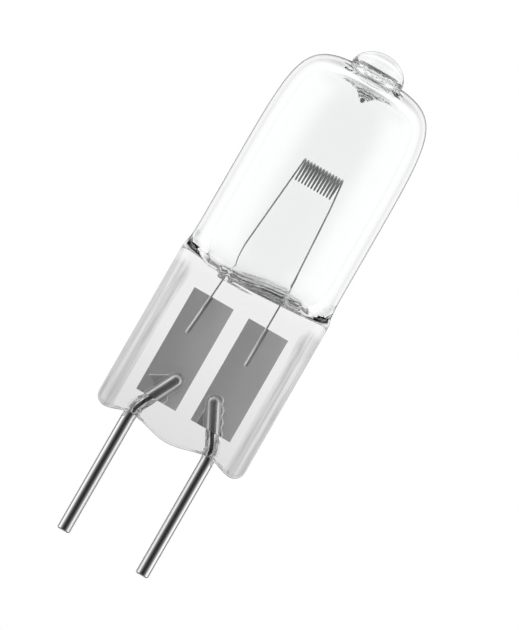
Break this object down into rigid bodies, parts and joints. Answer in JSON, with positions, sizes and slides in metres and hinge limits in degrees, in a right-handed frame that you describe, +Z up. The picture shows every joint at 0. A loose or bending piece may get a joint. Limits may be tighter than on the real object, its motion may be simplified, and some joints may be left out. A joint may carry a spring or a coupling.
{
  "type": "projector bulb",
  "caption": "Clear quartz projector bulb: domed tube with a sealed exhaust tip, flat-wound filament on long legs, foil seals in a pinched press, and round contact pins.",
  "frame": {"origin": "midway between the free ends of the pins", "axes": "+Z up the bulb's axis from the pins to the sealed tip, X along the row of pins, Y through the thickness of the press, with the front towards -Y"},
  "size_m": [0.0118, 0.0114, 0.0403],
  "materials": {
    "quartz_glass": "clear, fire polished",
    "tungsten_wire": "drawn wire, satin",
    "molybdenum_foil": "rolled foil, satin",
    "molybdenum_pin": "drawn and polished"
  },
  "bodies": {
    "root": {"quartz_envelope": "quartz_glass", "tungsten_filament": "tungsten_wire", "seal_foil_left": "molybdenum_foil", "seal_foil_right": "molybdenum_foil", "contact_pin_left": "molybdenum_pin", "contact_pin_right": "molybdenum_pin"}
  },
  "joints": []
}
